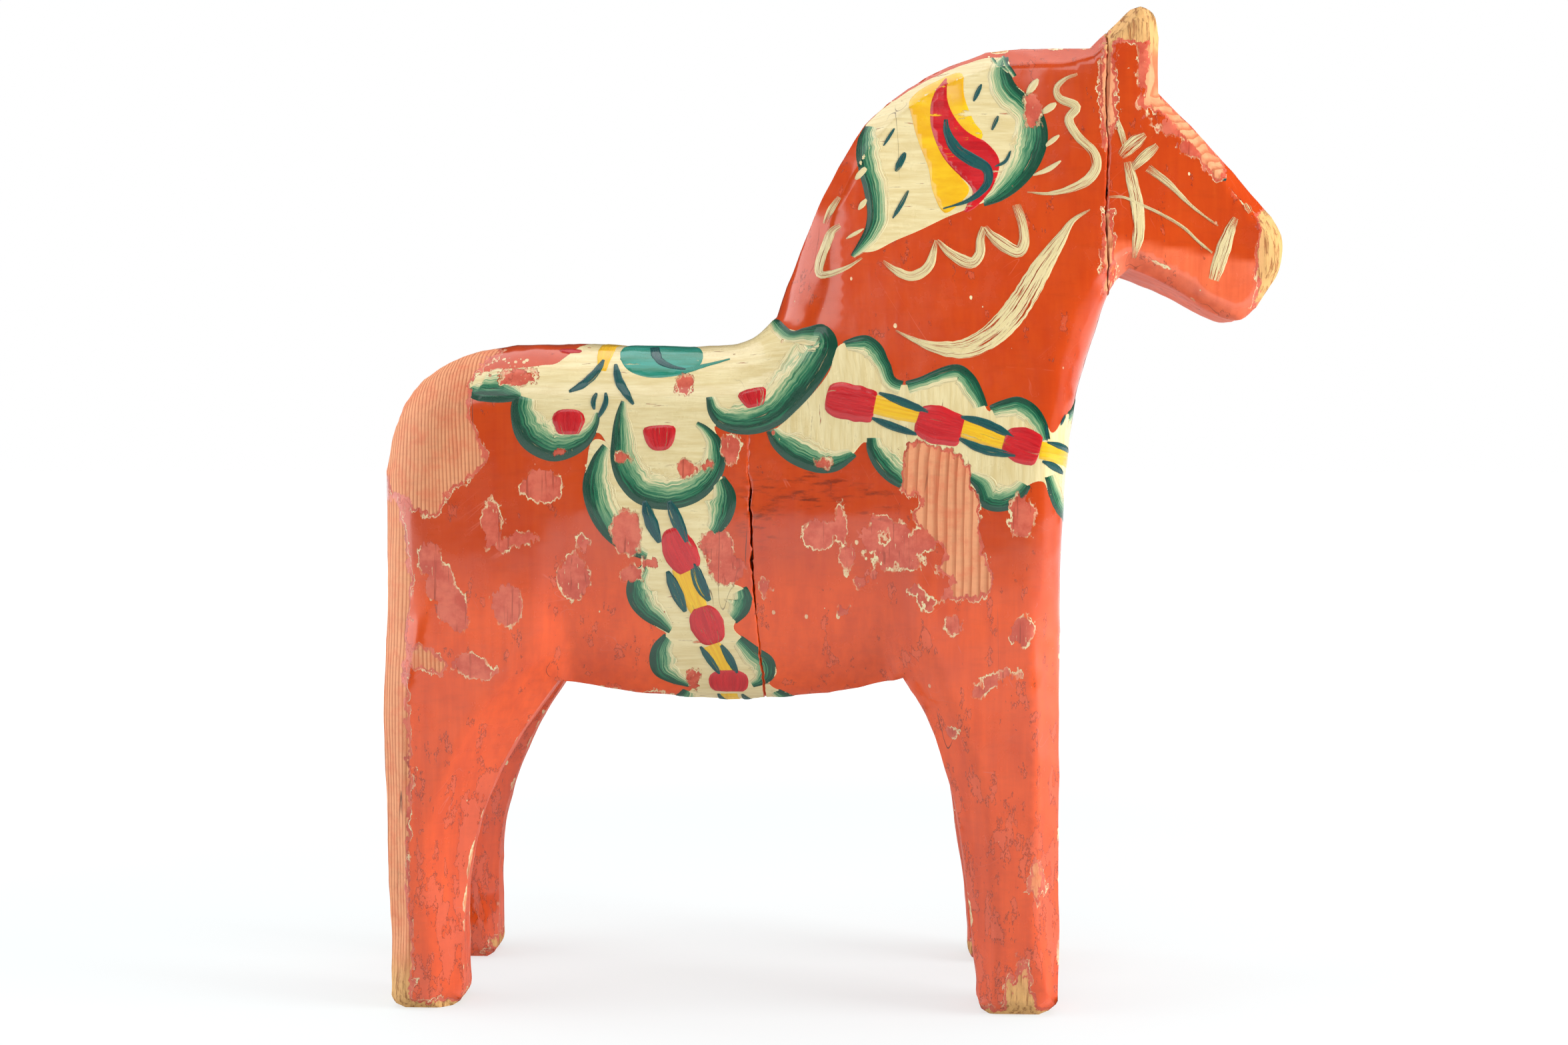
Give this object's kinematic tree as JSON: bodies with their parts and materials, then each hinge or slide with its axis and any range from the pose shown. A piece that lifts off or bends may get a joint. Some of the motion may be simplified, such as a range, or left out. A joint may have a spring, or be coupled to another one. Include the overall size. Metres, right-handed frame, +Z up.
{
  "type": "carved wooden horse",
  "caption": "Standing folk-art horse carved from a glued and dowelled blank of three upright pine blocks, with a flat-sided head, two ears and four straight legs.",
  "frame": {"origin": "on the ground, halfway along the horse and in its plane of symmetry", "axes": "+X towards the muzzle, +Y across the horse, +Z up"},
  "size_m": [0.298, 0.094, 0.3295],
  "materials": {
    "painted_pine": "glossy orange-red oil paint over primer, chipped and worn to bare pine",
    "dowel_wood": "bare turned birch"
  },
  "bodies": {
    "root": {"hind_block": "painted_pine", "fore_block": "painted_pine", "head_block": "painted_pine", "body_dowel_lower": "dowel_wood", "body_dowel_middle": "dowel_wood", "body_dowel_upper": "dowel_wood", "head_dowel_lower": "dowel_wood", "head_dowel_upper": "dowel_wood"}
  },
  "joints": []
}
